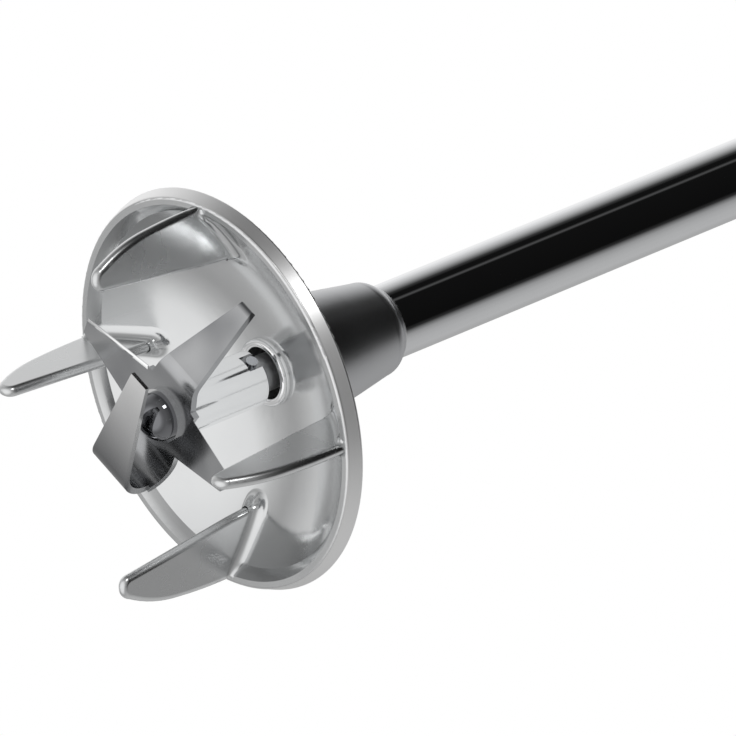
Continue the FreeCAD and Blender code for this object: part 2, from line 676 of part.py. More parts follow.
def trigger():
    """Curved finger lever that turns on a pin at its upper end."""
    side = path(
        (-22.0, TRIGGER_Z0),
        (-27.5, TRIGGER_Z0 + 2.0),
        (-26.0, TRIGGER_Z0 + 18.0, -25.0, TRIGGER_Z1 - 4.0),
        (-23.0, TRIGGER_Z1),
        (-12.5, TRIGGER_Z1 - 0.5),
        (-12.5, TRIGGER_Z1 - 8.0),
        (-20.0, TRIGGER_Z1 - 12.0),
        (-22.0, TRIGGER_Z0 + 0.0))
    plate = Part.Face(Part.Wire(side)).extrude(V(0, 2 * TRIGGER_HALF, 0))
    plate.translate(V(0, -TRIGGER_HALF, 0))
    plate.rotate(V(0, 0, 0), UP, 90)
    pad = plate.makeFillet(1.2, [e for e in plate.Edges if e.BoundBox.YMax < -23.0
                                 and abs(abs(e.CenterOfMass.x) - TRIGGER_HALF) < 0.1])
    return pad.cut(Part.makeCylinder(PIVOT_R + FIT, 30, PIVOT - V(15, 0, 0), V(1, 0, 0)))


def trigger_pin():
    return Part.makeCylinder(PIVOT_R, 26, PIVOT - V(13, 0, 0), V(1, 0, 0))


def trigger_spring():
    """Torsion spring beside the lever: coils round the pin and two legs."""
    coils = ring(2.8, 1.7, 0, 3.0)
    coils.rotate(V(0, 0, 0), V(0, 1, 0), 90)
    coils.translate(PIVOT + V(TRIGGER_HALF + 0.6, 0, 0))
    leg = bar(0.6, PIVOT + V(TRIGGER_HALF + 2.2, 2.2, 0), PIVOT + V(TRIGGER_HALF + 2.2, 4.5, -14.0))
    return fuse(coils, leg)


def lock_button():
    """Round palm button that frees the trigger."""
    body = Part.makeCylinder(BUTTON_R, BUTTON_TOP - BUTTON_FOOT, V(0, BUTTON_FOOT, BUTTON_Z), V(0, 1, 0))
    flange = Part.makeCylinder(BUTTON_R + 1.8, 1.3, V(0, BUTTON_FOOT, BUTTON_Z), V(0, 1, 0))
    domed = body.makeFillet(1.4, [e for e in body.Edges if e.CenterOfMass.y > BUTTON_TOP - 0.1])
    return fuse(domed, flange)


def speed_wheel():
    """Knurled thumbwheel on the spindle of the speed control."""
    body = cylinder(WHEEL_R, -WHEEL_HALF, WHEEL_HALF).cut(cylinder(SPINDLE_R + FIT, -5, 5))
    notches = around(cylinder(0.8, -5, 5, WHEEL_R + 0.3, 0), 36)
    body = body.cut(Part.makeCompound(notches))
    body.rotate(V(0, 0, 0), V(0, 1, 0), 90)
    body.translate(V(0, WHEEL_Y, WHEEL_Z))
    return body


def speed_control():
    """Rotary control with the spindle that carries the wheel."""
    can = Part.makeCylinder(5.0, 5.0, V(-WHEEL_HALF - 6.0, WHEEL_Y, WHEEL_Z), V(1, 0, 0))
    spindle = Part.makeCylinder(SPINDLE_R, 12.0, V(-WHEEL_HALF - 2.0, WHEEL_Y, WHEEL_Z), V(1, 0, 0))
    return fuse(can, spindle)


def board_parts():
    """Components on the control board: a capacitor and a finned heat sink."""
    capacitor = cylinder(4.5, 548.0, 566.0, 0.0, BOARD_Y - 4.6)
    sink = block(5.0, 12.5, BOARD_Y - 8.0, BOARD_Y, 520.0, 545.0)
    pitch, first = 2.4, BOARD_Y - 7.0
    gaps = [block(4.0, 10.5, first + pitch * k, first + pitch * k + 1.2, 519.0, 546.0) for k in range(3)]
    return [capacitor, sink.cut(Part.makeCompound(gaps))]


def gland():
    """Ribbed cable inlet in the top of the handle."""
    z0 = HANDLE_TOP - 8.0
    shell_top = HANDLE_TOP + 0.2
    return revolve(outline(
        (CABLE_R, z0), (9.0, z0), (9.0, z0 + 4.5), (7.0, z0 + 4.5), (7.0, shell_top), (9.0, shell_top),
        (9.0, HANDLE_TOP + 2.5), (6.6, HANDLE_TOP + 9.0), (CABLE_R, HANDLE_TOP + 9.0)))


def screw(length, head_r, shank_r):
    """Socket screw pointing up +Z, its head below z = 0."""
    head = cylinder(head_r, -3.0, 0).cut(hexagon(2.5, -4.0, -1.2))
    return fuse(head, cylinder(shank_r, 0, length))


def screws_on(count, first, r, z, length, head_r=3.0, shank_r=1.6):
    base = screw(length, head_r, shank_r)
    base.translate(V(r, 0, z))
    return around(base, count, first)


# ---------------------------------------------------------------- build
def build_foot():
    seal_z = RIM_Z + DISH_RISE + 2.4
    export("guard", guard())
    export("neck", neck())
    export("shaft_tube", ring(TUBE_R, TUBE_R - TUBE_WALL, TUBE_BOTTOM, HEAD_Z + 20.0))
    export("seal_ring", seal_ring())
    export("lip_seal", lip_seal(seal_z))
    export("lower_bush", ring(HUB_HOLE_R, SHAFT_R + FIT, seal_z + 3.6, TUBE_BOTTOM + 12.0))
    export("middle_bush", ring(TUBE_R - TUBE_WALL, SHAFT_R + FIT, MIDDLE_BUSH_Z, MIDDLE_BUSH_Z + 14.0))
    export("tube_head", tube_head())
    export("foot_bearing_outer", bearing_outer(HEAD_BEARING_Z))


def build_drive():
    sheet_top = BLADE_Z + BLADE_T
    export("drive_shaft", drive_shaft(BLADE_Z - WASHER_T - 2.6, SOCKET_Z + 12.0))
    export("blade_sleeve", blade_sleeve(sheet_top))
    export("drive_pin", drive_pin())
    export("blade", blade())
    export("blade_washer", ring(8.0, STUD_R, BLADE_Z - WASHER_T, BLADE_Z))
    export("cap_nut", cap_nut(BLADE_Z - WASHER_T))
    export("shaft_circlip", circlip(CIRCLIP_Z))
    export("foot_bearing_inner", bearing_inner(HEAD_BEARING_Z))
    export("coupling_socket", coupling_socket(HEAD_Z + 30.0))


def build_motor():
    export("lock_ring", lock_ring())
    export("nose_casting", nose())
    export("nose_screws", *screws_on(4, 45.0, NOSE_SCREW_R, MOTOR_Z - 4.0, 9.0))
    export("lower_bracket", bracket(MOTOR_Z, LOWER_BEARING_Z, 39.8, NOSE_SCREW_R))
    export("upper_bracket", bracket(UPPER_BEARING_Z, UPPER_BEARING_Z, 38.0, BRACKET_SCREW_R))
    export("bracket_screws", *screws_on(4, 45.0, BRACKET_SCREW_R, CORE_Z0, 76.0))
    export("stator_core", stator_core())
    export("stator_windings", *stator_windings())
    export("lower_motor_bearing_outer", bearing_outer(LOWER_BEARING_Z))
    export("upper_motor_bearing_outer", bearing_outer(UPPER_BEARING_Z))
    export("brush_holders", *on_both_sides(brush_holders()))
    export("brushes", *on_both_sides(brush()))
    brush_spring = coil_spring(2.2, 0.35, 1.6, 6.0, V(22.3, 0, BRUSH_Z), V(1, 0, 0))
    export("brush_springs", *on_both_sides(brush_spring))
    export("motor_housing", motor_housing())


def build_rotor():
    export("motor_shaft", motor_shaft(SOCKET_Z + 13.0, MOTOR_SHAFT_TOP))
    export("coupling_driver", coupling_hex(SOCKET_Z + 12.4))
    export("lower_motor_bearing_inner", bearing_inner(LOWER_BEARING_Z))
    export("upper_motor_bearing_inner", bearing_inner(UPPER_BEARING_Z))
    export("cooling_fan", fan())
    export("armature_core", armature_core())
    export("armature_windings", *armature_windings())
    export("commutator", commutator())


def build_handle():
    left, right = handle_shells()
    export("handle_left", left)
    export("handle_right", right)
    export("handle_screws", *handle_screws())
    export("trigger", trigger())
    export("trigger_pin", trigger_pin())
    export("trigger_spring", trigger_spring())
    export("lock_button", lock_button())
    lock_spring = coil_spring(3.0, 0.4, 2.2, 10.6, V(0, BOARD_Y + 2.0, BUTTON_Z), V(0, 1, 0))
    export("lock_spring", lock_spring)
    export("speed_wheel", speed_wheel())
    export("speed_control", speed_control())
    export("control_board", block(-14.0, 14.0, BOARD_Y, BOARD_Y + 1.6, 515.0, 575.0))
    export("board_parts", *board_parts())
    export("trigger_switch", block(-4.0, 4.0, -12.0, -2.0, 525.0, 543.0))
    export("cable_gland", gland())


os.makedirs(OUT, exist_ok=True)
build_foot()
build_drive()
build_motor()
build_rotor()
build_handle()
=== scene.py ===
# %% [markdown]
# # Immersion blender with a finned foot
# This lesson dresses a finished engineering model: a stick blender that stands on the four fins of its foot.
# The frame (every shaft, shell and screw) is loaded first and stays where it is. The lesson then adds the pieces
# that are better shaped in Blender, gives every piece the finish of its real material, and sets up a small studio.

# %% Load the frame
import bpy
import json
from math import atan2, copysign, cos, hypot, pi, radians, sin
from mathutils import Matrix, Vector


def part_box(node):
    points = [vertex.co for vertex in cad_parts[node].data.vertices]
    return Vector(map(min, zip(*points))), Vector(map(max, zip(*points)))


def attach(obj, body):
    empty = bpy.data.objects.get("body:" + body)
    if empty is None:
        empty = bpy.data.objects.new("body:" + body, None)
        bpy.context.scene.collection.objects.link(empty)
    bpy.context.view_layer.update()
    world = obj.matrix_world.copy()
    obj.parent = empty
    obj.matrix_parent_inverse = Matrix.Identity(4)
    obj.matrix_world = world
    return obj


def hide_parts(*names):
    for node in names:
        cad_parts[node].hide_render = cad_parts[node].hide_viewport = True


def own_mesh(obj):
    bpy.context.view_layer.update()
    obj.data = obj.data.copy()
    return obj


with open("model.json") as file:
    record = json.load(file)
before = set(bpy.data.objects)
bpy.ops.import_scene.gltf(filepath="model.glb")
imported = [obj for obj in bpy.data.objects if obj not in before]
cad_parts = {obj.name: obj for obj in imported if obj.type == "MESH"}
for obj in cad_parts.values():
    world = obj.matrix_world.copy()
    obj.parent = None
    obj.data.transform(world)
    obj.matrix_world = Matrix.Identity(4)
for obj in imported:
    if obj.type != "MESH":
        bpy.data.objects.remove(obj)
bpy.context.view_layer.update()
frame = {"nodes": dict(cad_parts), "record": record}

nodes = frame["nodes"]
MM = 0.001

# %% [markdown]
# ## Small tools
# Three helpers serve the whole lesson. The first turns a colour written the way designers write it, as a hex value,
# into the linear numbers that a shader works with. The second adds one shader node with its settings and links.
# The third starts every modelling step from a clean selection, because an operator acts on all that is selected.

# %% Colour and node helpers
def linear(hex_colour):
    """Linear RGBA of an sRGB hex colour."""
    channels = [int(hex_colour[i:i + 2], 16) / 255 for i in (0, 2, 4)]
    return [c / 12.92 if c <= 0.04045 else ((c + 0.055) / 1.055) ** 2.4 for c in channels] + [1.0]


def add(tree, kind, inputs=None, **settings):
    """Add a node; inputs maps a socket name or number to a value or to another node's output."""
    made = tree.nodes.new(kind)
    for name, value in settings.items():
        setattr(made, name, value)
    for socket, value in (inputs or {}).items():
        if isinstance(value, bpy.types.NodeSocket):
            tree.links.new(value, made.inputs[socket])
        else:
            made.inputs[socket].default_value = value
    return made


def clear_selection():
    if bpy.context.object and bpy.context.object.mode != "OBJECT":
        bpy.ops.object.mode_set(mode="OBJECT")
    bpy.ops.object.select_all(action="DESELECT")


clear_selection()

# %% [markdown]
# ## The studio
# Polished steel shows its surroundings rather than a colour of its own, so the studio decides how the foot looks.
# The surroundings are a sky that is bright on the trigger's side, black from +X round to the viewer on the +Y side,
# and soft grey beyond -X, as white and black cloths hung round a mirror-bright tube would make it. It is made from
# the direction alone: one colour ramp runs round the compass, and a second one looks after everything below the
# horizon. The backdrop itself is plain white, and a pale floor that only the camera sees shows the blender standing
# without throwing light into the dish.

# %% Sky
# Brightness of the cloths as (share of a turn, level): 0 is the trigger's side, and +X comes a quarter turn later.
CLOTHS = [(0.0, 0.97), (0.10, 1.12), (0.15, 0.98), (0.205, 0.62), (0.235, 0.34), (0.268, 0.06), (0.295, 0.008),
          (0.334, 0.008), (0.351, 0.11), (0.366, 0.008), (0.60, 0.006), (0.626, 0.04), (0.648, 0.24),
          (0.672, 0.44), (0.71, 0.56), (0.76, 0.62), (0.83, 0.63), (0.90, 0.52), (0.995, 0.42), (1.0, 0.97)]
# Brightness below the horizon, from straight down at 0 to the skyline at 1.
GROUND = [(0.0, 1.15), (0.20, 1.05), (0.32, 0.60), (0.42, 0.44), (0.60, 0.54), (1.0, 0.66)]
# Heights of a direction of length 1: only cloths above the skyline, only ground below the second one.
SKYLINE, GROUND_ONLY, STRAIGHT_DOWN = 0.2, -0.5, -1.0
QUARTER_TURN = 0.25


def make_sky():
    world = bpy.data.worlds.new("studio_sky")
    bpy.context.scene.world = world
    world.use_nodes = True
    tree = world.node_tree
    tree.nodes.clear()
    direction = add(tree, "ShaderNodeTexCoord").outputs["Generated"]
    parts = add(tree, "ShaderNodeSeparateXYZ", {0: direction})
    compass = add(tree, "ShaderNodeMath", {0: parts.outputs["Y"], 1: parts.outputs["X"]}, operation="ARCTAN2")
    turn = add(tree, "ShaderNodeMath", {0: compass.outputs[0], 1: 1 / (2 * pi), 2: QUARTER_TURN},
               operation="MULTIPLY_ADD")
    turn = add(tree, "ShaderNodeMath", {0: turn.outputs[0], 1: 1.0}, operation="FLOORED_MODULO")
    around = add(tree, "ShaderNodeValToRGB", {0: turn.outputs[0]})
    set_ramp(around, CLOTHS)
    below = add(tree, "ShaderNodeMapRange", {0: parts.outputs["Z"], 1: STRAIGHT_DOWN, 2: SKYLINE})
    ground = add(tree, "ShaderNodeValToRGB", {0: below.outputs[0]})
    set_ramp(ground, GROUND)
    rise = add(tree, "ShaderNodeMapRange", {0: parts.outputs["Z"], 1: GROUND_ONLY, 2: SKYLINE})
    light = add(tree, "ShaderNodeMix", {0: rise.outputs[0], 6: ground.outputs[0], 7: around.outputs[0]},
                data_type="RGBA")
    studio = add(tree, "ShaderNodeBackground", {"Color": light.outputs[2], "Strength": 1.0})
    paper = add(tree, "ShaderNodeBackground", {"Color": linear("ffffff"), "Strength": 1.0})
    seen = add(tree, "ShaderNodeLightPath").outputs["Is Camera Ray"]
    both = add(tree, "ShaderNodeMixShader", {0: seen, 1: studio.outputs[0], 2: paper.outputs[0]})
    add(tree, "ShaderNodeOutputWorld", {"Surface": both.outputs[0]})


def set_ramp(node, stops):
    """Fill a colour ramp with (place, brightness) stops."""
    ramp = node.color_ramp
    ramp.elements[0].position = stops[0][0]
    ramp.elements[0].color = (stops[0][1],) * 3 + (1.0,)
    ramp.elements[1].position = stops[-1][0]
    ramp.elements[1].color = (stops[-1][1],) * 3 + (1.0,)
    for place, level in stops[1:-1]:
        stop = ramp.elements.new(place)
        stop.color = (level,) * 3 + (1.0,)


make_sky()
bpy.context.scene.view_settings.view_transform = "Standard"
print("sky:", len(CLOTHS), "stops round the compass and", len(GROUND), "below the horizon")

# %% Floor
FLOOR_SIZE = 12.0  # metres
bpy.ops.mesh.primitive_plane_add(size=FLOOR_SIZE, location=(0, 0, 0))
floor = bpy.context.object
floor.name = "studio_floor"
floor_paint = bpy.data.materials.new("studio_paper")
floor_paint.use_nodes = True
tree = floor_paint.node_tree
tree.nodes.clear()
paper = add(tree, "ShaderNodeBsdfDiffuse", {"Color": linear("f4f4f2")})
clear = add(tree, "ShaderNodeBsdfTransparent")
back = add(tree, "ShaderNodeNewGeometry").outputs["Backfacing"]
one_way = add(tree, "ShaderNodeMixShader", {0: back, 1: paper.outputs[0], 2: clear.outputs[0]})
add(tree, "ShaderNodeOutputMaterial", {"Surface": one_way.outputs[0]})
floor.data.materials.append(floor_paint)
floor.visible_glossy = False
floor.visible_diffuse = False
floor.visible_shadow = False
floor.visible_transmission = False
print("floor:", FLOOR_SIZE, "m across")

# %% [markdown]
# ## Camera
# The blender is looked at from below, on the palm button's side, so the dish opens towards the viewer and the shaft
# leads away.
# The camera stands about 2.3 m off with a long lens, as for a catalogue picture, so the lines stay nearly parallel.

# %% Camera
RIM_Z = 39.0 * MM  # height of the plane of the foot's rim
CAMERA_PLACE = Vector((-10.2, 1942.3, -1316.5)) * MM  # from the middle of that plane
CAMERA_RIGHT = Vector((-0.3833, 0.5325, 0.7547))
CAMERA_BACK = Vector((0.0, 0.8171, -0.5765))
SENSOR, LENS = 36.0, 401.6  # millimetres


def make_camera():
    place = Vector((0, 0, RIM_Z)) + CAMERA_PLACE
    right = CAMERA_RIGHT.normalized()
    back = CAMERA_BACK.normalized()
    right = (right - back * right.dot(back)).normalized()
    up = back.cross(right)
    camera = bpy.data.objects.new("camera", bpy.data.cameras.new("camera"))
    bpy.context.scene.collection.objects.link(camera)
    camera.matrix_world = Matrix.Translation(place) @ Matrix((right, up, back)).transposed().to_4x4()
    camera.data.sensor_width = SENSOR
    camera.data.lens = LENS
    camera.data.clip_end = 50.0
    bpy.context.scene.camera = camera
    return camera


camera = make_camera()
print("camera:", round(camera.location.length, 2), "m from the foot")

# %% [markdown]
# ## Finishes
# Each finish is named for the real material and for how its surface was made. Nearly all share one recipe: a tint
# that drifts a little over the surface, a roughness that a soft cloudy pattern varies as wiping marks do, and a bump
# for the marks of the process. A metal adds full metallic to it. Sizes are in millimetres.

# %% Shader recipe
MIDDLE = {1: 0.3, 2: 0.7}  # a cloudy pattern hardly leaves this range, so it is stretched to the full range wanted
WIPING = 25.0  # size of wiping marks


def start_material(name):
    material = bpy.data.materials.new(name)
    material.use_nodes = True
    tree = material.node_tree
    tree.nodes.clear()
    return material, tree, add(tree, "ShaderNodeTexCoord").outputs["Object"]


def cloud(tree, where, size_mm, detail=3.0, stretch=(1, 1, 1)):
    """Cloudy 0-1 pattern whose blobs are size_mm across, drawn out along an axis by stretch."""
    spread = add(tree, "ShaderNodeMapping", {"Vector": where, "Scale": [1 / s for s in stretch]})
    noise = add(tree, "ShaderNodeTexNoise", {"Vector": spread.outputs[0], "Scale": 1 / (size_mm * MM),
                                             "Detail": detail})
    return noise.outputs["Fac"]


def close(material, tree, sockets):
    shader = add(tree, "ShaderNodeBsdfPrincipled", sockets)
    add(tree, "ShaderNodeOutputMaterial", {"Surface": shader.outputs[0]})
    return material


def surface(material, tree, colour, rough, relief, sockets):
    """Close a material with colour (pattern, dark, light), roughness (pattern, low, high) and relief (pattern, mm)."""
    tone = add(tree, "ShaderNodeMix", {0: colour[0], 6: linear(colour[1]), 7: linear(colour[2])}, data_type="RGBA")
    haze = add(tree, "ShaderNodeMapRange", {0: rough[0], **MIDDLE, 3: rough[1], 4: rough[2]})
    marks = add(tree, "ShaderNodeBump", {"Height": relief[0], "Distance": relief[1] * MM, "Strength": 1.0})
    return close(material, tree, {"Base Color": tone.outputs[2], "Roughness": haze.outputs[0],
                                  "Normal": marks.outputs[0], **sockets})


def metal(name, dark, light, rough, marks=(0.4, 0.0006), stretch=(1, 1, 1)):
    """Metal with roughness from rough[0] to rough[1] and marks of (size in mm, depth in mm)."""
    material, tree, where = start_material(name)
    wiped = cloud(tree, where, WIPING)
    fine = cloud(tree, where, marks[0], 4.0, stretch)
    return surface(material, tree, (wiped, dark, light), (wiped, *rough), (fine, marks[1]), {"Metallic": 1.0})


# %% [markdown]
# ### Steel, from mirror to cast
# The tube and the neck are stainless steel polished on a wheel: nearly a mirror, with only the faintest haze.
# The foot is investment cast and then polished, so it keeps a slight unevenness that softens its reflections, and
# its rim was turned on a lathe, which left fine rings. The blade is cut from sheet and ground flat, which leaves
# fine straight scratches across it, so it looks grey and even where the tube looks black and white.

# %% Steel finishes
ALONG_Z = (1, 1, 40)  # marks drawn out along the shaft
AROUND_Z = (1, 1, 0.2)  # marks pressed flat, as a turning tool leaves them

mirror_steel = metal("stainless_steel_mirror_polished", "cfd0d2", "d6d7d8", (0.045, 0.075), (0.35, 0.00012), ALONG_Z)
sleeve_steel = metal("stainless_steel_turned_and_polished", "eaebec", "f6f6f6", (0.09, 0.15), (0.5, 0.0008))
# The nut's dark tint is a painted dark reflection on its dome.
nut_steel_painted_dark = metal("steel_painted_dark_reflection", "707174", "808184", (0.03, 0.06), (0.5, 0.0003))
shaft_steel = metal("stainless_steel_centreless_ground", "c9cacc", "dadbdc", (0.42, 0.5), (0.3, 0.0015), AROUND_Z)
# The neck's steel is tinted darker than the tube's, a painted shade; its roughness is the satin polish.
satin_painted_shade = metal("stainless_steel_satin_polished", "aeafb1", "babbbd", (0.30, 0.36), (0.4, 0.0012), ALONG_Z)
plain_steel = metal("free_cutting_steel_turned", "a9abae", "b9bbbd", (0.22, 0.34), (0.2, 0.0015), AROUND_Z)
race_steel = metal("bearing_steel_lapped", "c4c6ca", "d0d2d5", (0.08, 0.14))
spring_wire = metal("spring_steel_drawn_wire", "8f9297", "a0a3a8", (0.25, 0.35), (0.3, 0.001), ALONG_Z)
bronze = metal("sintered_bronze", "a8783f", "bf8f52", (0.35, 0.5), (0.25, 0.004))
brass = metal("brass_stamped", "c9a24e", "d8b566", (0.2, 0.3), (0.5, 0.001))
nose_alloy = metal("aluminium_die_cast_bead_blasted", "9fa1a3", "b0b2b4", (0.38, 0.50), (0.35, 0.012))
bracket_alloy = metal("aluminium_die_cast_raw", "96989b", "a9abad", (0.42, 0.58), (0.9, 0.02))


RIM_POLISHED, RIM_SATIN_AND_HIGHLIGHT = 58.6 * MM, 59.2 * MM  # where polish gives way to satin and a painted highlight
RIM_EDGE = 0.1 * MM  # half the height over which the rim's lathe satin and painted highlight start
RIM_DULLER, FINS_DULLER = 0.22, 0.15  # added roughness
FINS_FROM, FINS_TO = 36 * MM, 40 * MM  # heights between which the fins' finish passes into the dish's


def cast_steel():
    """Investment-cast stainless steel, polished, its fins a little duller and its rim left satin from the lathe and
    drawn lighter as a painted highlight.
    """
    material, tree, where = start_material("stainless_steel_cast_and_polished")
    wiped = cloud(tree, where, 18.0)
    swell = cloud(tree, where, 7.0, 2.0)
    xyz = add(tree, "ShaderNodeSeparateXYZ", {0: where})
    flat = add(tree, "ShaderNodeCombineXYZ", {0: xyz.outputs[0], 1: xyz.outputs[1]})
    radius = add(tree, "ShaderNodeVectorMath", {0: flat.outputs[0]}, operation="LENGTH").outputs["Value"]
    outer = add(tree, "ShaderNodeMapRange", {0: radius, 1: RIM_POLISHED, 2: RIM_SATIN_AND_HIGHLIGHT})
    above = add(tree, "ShaderNodeMapRange", {0: xyz.outputs[2], 1: RIM_Z - RIM_EDGE, 2: RIM_Z + RIM_EDGE})
    rim = add(tree, "ShaderNodeMath", {0: outer.outputs[0], 1: above.outputs[0]}, operation="MULTIPLY").outputs[0]
    fins = add(tree, "ShaderNodeMapRange", {0: xyz.outputs[2], 1: FINS_FROM, 2: FINS_TO, 3: FINS_DULLER, 4: 0.0})
    polish = add(tree, "ShaderNodeMapRange", {0: wiped, **MIDDLE, 3: 0.10, 4: 0.17})
    rough = add(tree, "ShaderNodeMath", {0: rim, 1: RIM_DULLER, 2: polish.outputs[0]}, operation="MULTIPLY_ADD")
    rough = add(tree, "ShaderNodeMath", {0: rough.outputs[0], 1: fins.outputs[0]}, operation="ADD")
    rings = add(tree, "ShaderNodeTexWave", {"Vector": where, "Scale": 0.35 / MM, "Distortion": 1.2, "Detail": 3.0,
                                            "Detail Scale": 2.0}, wave_type="RINGS", rings_direction="Z")
    lathe = add(tree, "ShaderNodeBump", {"Height": rings.outputs["Fac"], "Distance": 0.0004 * MM, "Strength": 1.0})
    uneven = add(tree, "ShaderNodeBump", {"Height": swell, "Distance": 0.012 * MM, "Strength": 1.0,
                                          "Normal": lathe.outputs[0]})
    body = add(tree, "ShaderNodeMix", {0: wiped, 6: linear("cdcecf"), 7: linear("dadbdb")}, data_type="RGBA")
    # The rim is drawn lighter, e2e2e2: a painted highlight over the lathe's satin.
    colour = add(tree, "ShaderNodeMix", {0: rim, 6: body.outputs[2], 7: linear("e2e2e2")}, data_type="RGBA")
    return close(material, tree, {"Base Color": colour.outputs[2], "Metallic": 1.0, "Roughness": rough.outputs[0],
                                  "Normal": uneven.outputs[0]})


HOOK_ANGLE = radians(238.4)  # direction of the wing that rolls under the hub
HOOK_FREE_END, HOOK_FOLD = -20 * MM, 17 * MM  # ends of its lower sheet, along that direction
HOOK_TOP, SHEET_LOW = 6.5 * MM, 9 * MM  # heights between which its painted light passes into the flat sheet's colour
TIP_SHADE_START, TIP_SHADE_FULL = 39.3 * MM, 40.3 * MM  # heights where painted shade darkens the raised wing's tip


def ground_blade():
    """Blade sheet, ground by hand on a belt, with fine scratches. Its colour also holds painted light: a painted
    highlight on the rolled wing passing into painted shade at its fold, and painted shade on the raised wing's tip."""
    material, tree, where = start_material("blade_steel_belt_ground_painted_light")
    passes = cloud(tree, where, 15.0, 1.0)
    scratches = cloud(tree, where, 0.25, 4.0, (12, 1, 12))
    evened = add(tree, "ShaderNodeMapRange", {0: passes, **MIDDLE, 3: 0.0, 4: 1.0})
    sheet = add(tree, "ShaderNodeMix", {0: evened.outputs[0], 6: linear("97989a"), 7: linear("b9babb")},
                data_type="RGBA")
    height = add(tree, "ShaderNodeSeparateXYZ", {0: where}).outputs[2]
    along = add(tree, "ShaderNodeVectorMath", {0: where, 1: (cos(HOOK_ANGLE), sin(HOOK_ANGLE), 0)},
                operation="DOT_PRODUCT")
    hook_shade_share = add(tree, "ShaderNodeMapRange", {0: along.outputs["Value"], 1: HOOK_FREE_END, 2: HOOK_FOLD})
    # Painted light on the rolled wing: a painted highlight, f7f7f7, at its free end passes into painted shade, 5e5f61,
    # at its fold.
    hook_painted_light = add(tree, "ShaderNodeMix", {0: hook_shade_share.outputs[0], 6: linear("f7f7f7"), 7: linear("5e5f61")},
               data_type="RGBA")
    above = add(tree, "ShaderNodeMapRange", {0: height, 1: HOOK_TOP, 2: SHEET_LOW})
    sheet_with_painted_hook = add(tree, "ShaderNodeMix", {0: above.outputs[0], 6: hook_painted_light.outputs[2], 7: sheet.outputs[2]},
                data_type="RGBA")
    # Painted shade: the raised wing's tip is drawn dark, 4c4d4f.
    tip_shade_share = add(tree, "ShaderNodeMapRange", {0: height, 1: TIP_SHADE_START, 2: TIP_SHADE_FULL})
    colour = add(tree, "ShaderNodeMix", {0: tip_shade_share.outputs[0], 6: sheet_with_painted_hook.outputs[2], 7: linear("4c4d4f")},
                 data_type="RGBA")
    rough = add(tree, "ShaderNodeMapRange", {0: passes, **MIDDLE, 3: 0.24, 4: 0.12})
    marks = add(tree, "ShaderNodeBump", {"Height": scratches, "Distance": 0.0012 * MM, "Strength": 1.0})
    return close(material, tree, {"Base Color": colour.outputs[2], "Metallic": 1.0, "Roughness": rough.outputs[0],
                                  "Normal": marks.outputs[0]})


foot_steel = cast_steel()
ground_steel = ground_blade()
print("steel finishes ready")

# %% [markdown]
# ### Plastics, rubber and the inside of the motor
# Moulded plastic takes its look from the mould: a spark-eroded mould leaves a fine, even stipple that spreads the
# light. Rubber is darker and rougher. The motor's iron is a stack of thin sheets, so it has fine level lines, and
# its copper coils show the lie of the wire.

# %% Plastic finishes
HANDLING = 30.0  # size of the patches that hands leave, in mm


def moulded(name, dark, light, rough, stipple=(0.45, 0.02), ior=1.5, coat=0.0):
    """Plastic or rubber from a textured mould: stipple is (size in mm, depth in mm)."""
    material, tree, where = start_material(name)
    handled = cloud(tree, where, HANDLING)
    cells = add(tree, "ShaderNodeTexVoronoi", {"Vector": where, "Scale": 1 / (stipple[0] * MM)}, feature="SMOOTH_F1")
    return surface(material, tree, (handled, dark, light), (handled, *rough),
                   (cells.outputs["Distance"], stipple[1]), {"IOR": ior, "Coat Weight": coat})


drum_plastic = moulded("polyamide_spark_textured_grey", "55585c", "5f6266", (0.42, 0.52))
grip_plastic = moulded("polyamide_spark_textured_black", "1b1c1e", "242527", (0.45, 0.56), (0.6, 0.035))
ring_plastic = moulded("glass_filled_polyamide_black", "191a1c", "222325", (0.38, 0.48), (0.35, 0.012))
trigger_plastic = moulded("acetal_satin_dark_grey", "2b2d30", "333538", (0.34, 0.42), (0.5, 0.008))
button_plastic = moulded("abs_gloss_red", "9c1512", "ad1c17", (0.18, 0.26), (2.0, 0.004), coat=0.2)
wheel_plastic = moulded("acetal_satin_grey", "6b6e72", "787b7f", (0.36, 0.46), (0.5, 0.008))
fan_plastic = moulded("polyamide_natural", "d8d5cb", "e4e1d8", (0.40, 0.50), (0.8, 0.01), 1.53)
pad_rubber = moulded("thermoplastic_elastomer_grey", "4a4d51", "565a5e", (0.55, 0.66), (0.5, 0.012), 1.52)
black_rubber = moulded("nitrile_rubber_moulded", "151515", "1e1e1e", (0.55, 0.68), (0.5, 0.01), 1.52)
component_body = moulded("epoxy_moulded_black", "17181b", "212226", (0.3, 0.4), (0.6, 0.01), 1.55)
carbon = moulded("carbon_pressed", "232325", "313134", (0.5, 0.62), (0.4, 0.015), 1.6)


WAVE = 0.31  # wave texture scale that gives one line per unit of length


def striped(name, dark, light, pitch_mm, depth_mm, direction, metallic, rough):
    """Fine straight lines, pitch_mm apart: the edges of stacked sheets, or wires side by side."""
    material, tree, where = start_material(name)
    lines = add(tree, "ShaderNodeTexWave", {"Vector": where, "Scale": WAVE / (pitch_mm * MM), "Distortion": 0.4,
                                            "Detail": 1.0}, bands_direction=direction)
    patches = cloud(tree, where, 12.0)
    shade = add(tree, "ShaderNodeMath", {0: lines.outputs["Fac"], 1: patches}, operation="MULTIPLY")
    return surface(material, tree, (shade.outputs[0], dark, light), (patches, *rough),
                   (lines.outputs["Fac"], depth_mm), {"Metallic": metallic})


